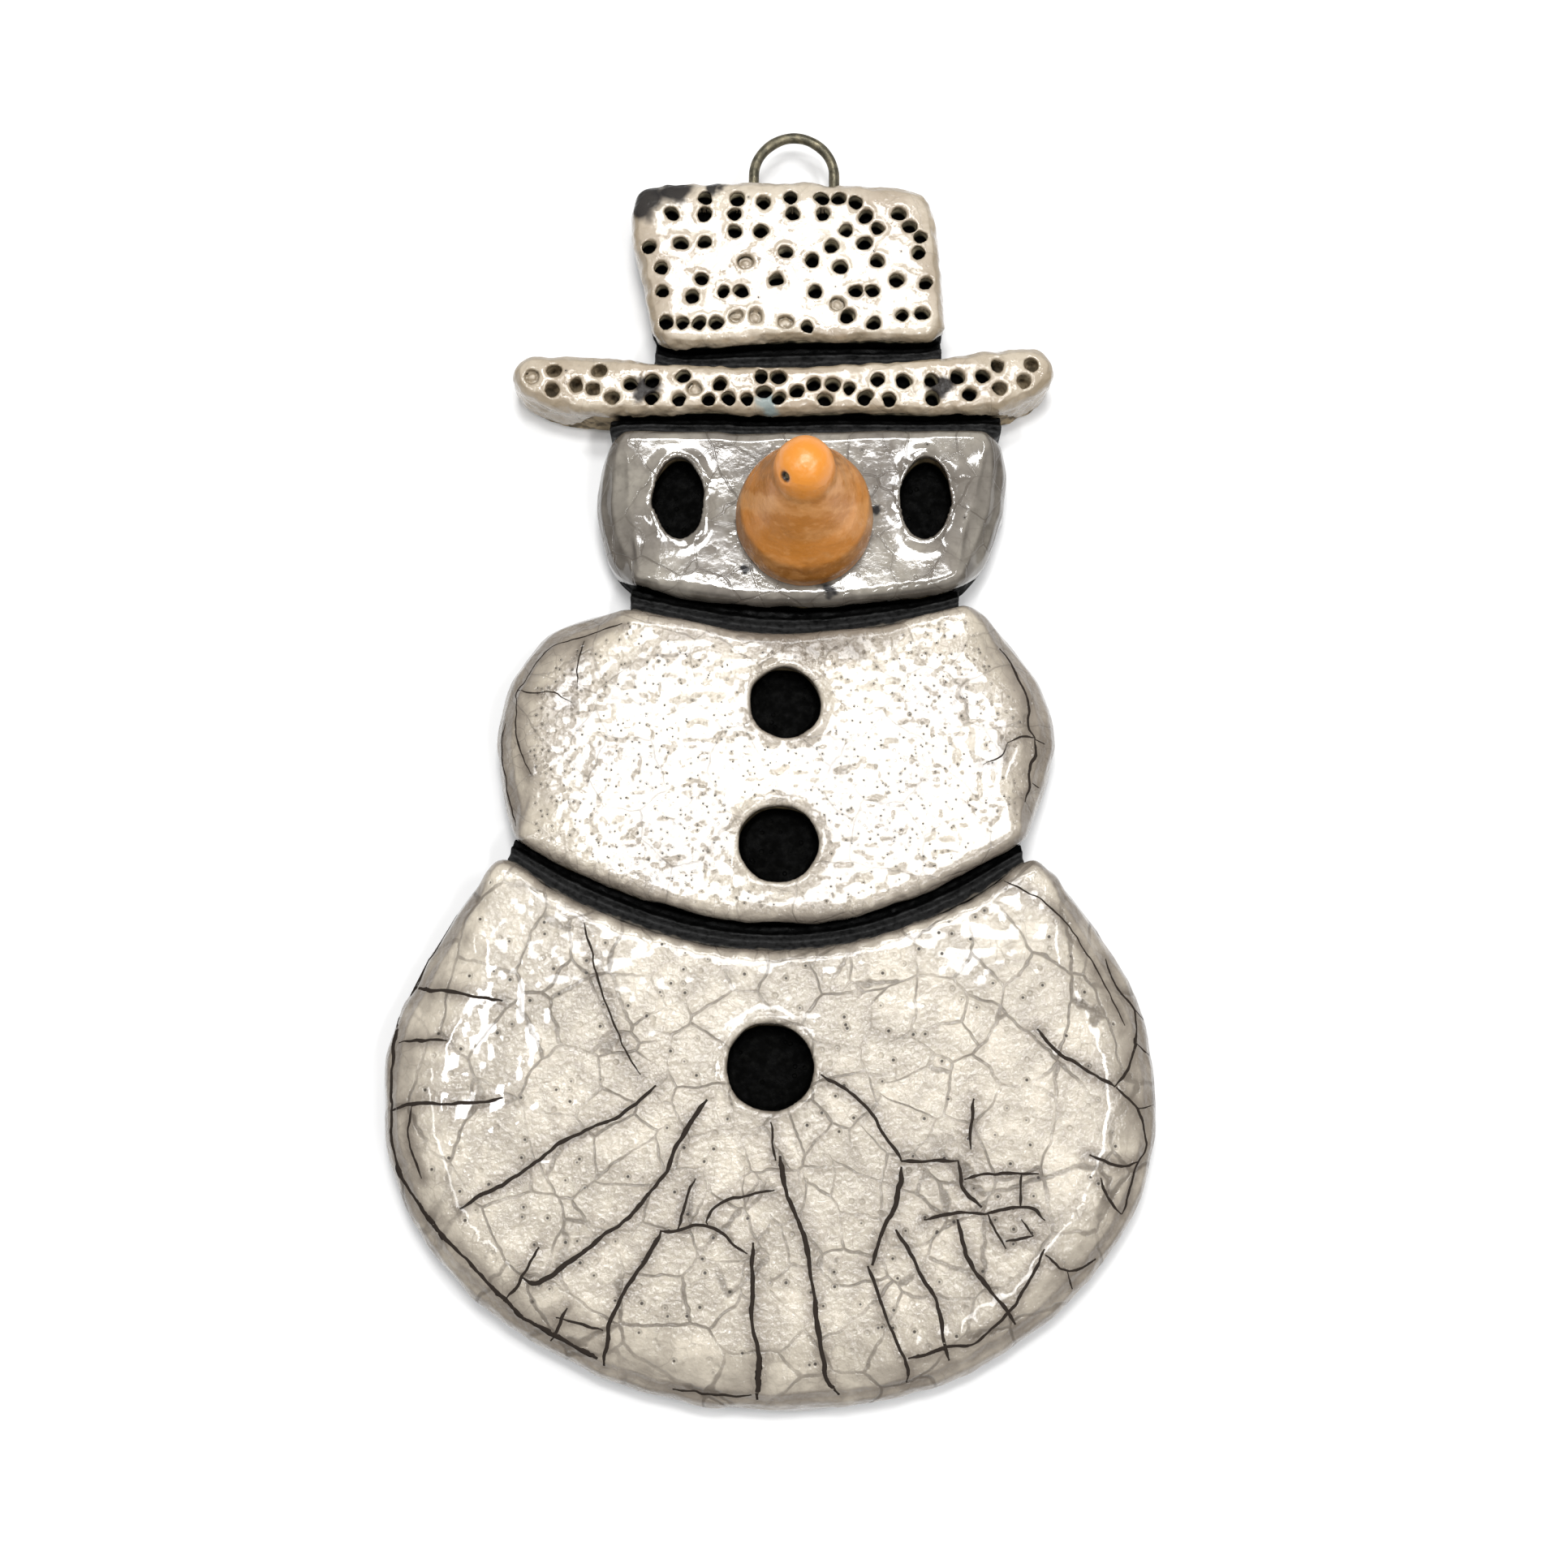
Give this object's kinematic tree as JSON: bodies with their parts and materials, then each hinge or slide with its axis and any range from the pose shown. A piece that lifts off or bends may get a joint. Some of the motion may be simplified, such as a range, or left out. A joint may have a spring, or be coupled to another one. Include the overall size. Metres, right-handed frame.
{
  "type": "ceramic snowman ornament",
  "caption": "Flat crackle-glazed ceramic snowman with a dotted top hat, an orange carrot nose, button pits and a wire hanging loop.",
  "frame": {"origin": "centre of the bounding box in X and Y, on the flat back", "axes": "+Z out of the face, +Y toward the hat and the hanging loop, +X to the right as the face is looked at"},
  "size_m": [0.0688, 0.119, 0.0217],
  "materials": {
    "smoked_clay": "matte",
    "seam_clay": "matte",
    "nose_clay": "matte",
    "wire": "satin",
    "crackle_glaze": "gloss",
    "grey_crackle_glaze": "gloss",
    "orange_glaze": "gloss"
  },
  "bodies": {
    "root": {"base_ball": "smoked_clay", "chest_ball": "smoked_clay", "head": "smoked_clay", "hat_brim": "smoked_clay", "hat_crown": "smoked_clay", "waist_seam": "seam_clay", "neck_seam": "seam_clay", "brim_seam": "seam_clay", "crown_seam": "seam_clay", "carrot_nose": "nose_clay", "hanger_wire": "wire", "base_glaze": "crackle_glaze", "chest_glaze": "crackle_glaze", "head_glaze": "grey_crackle_glaze", "brim_glaze": "crackle_glaze", "crown_glaze": "crackle_glaze", "nose_glaze": "orange_glaze"}
  },
  "joints": []
}
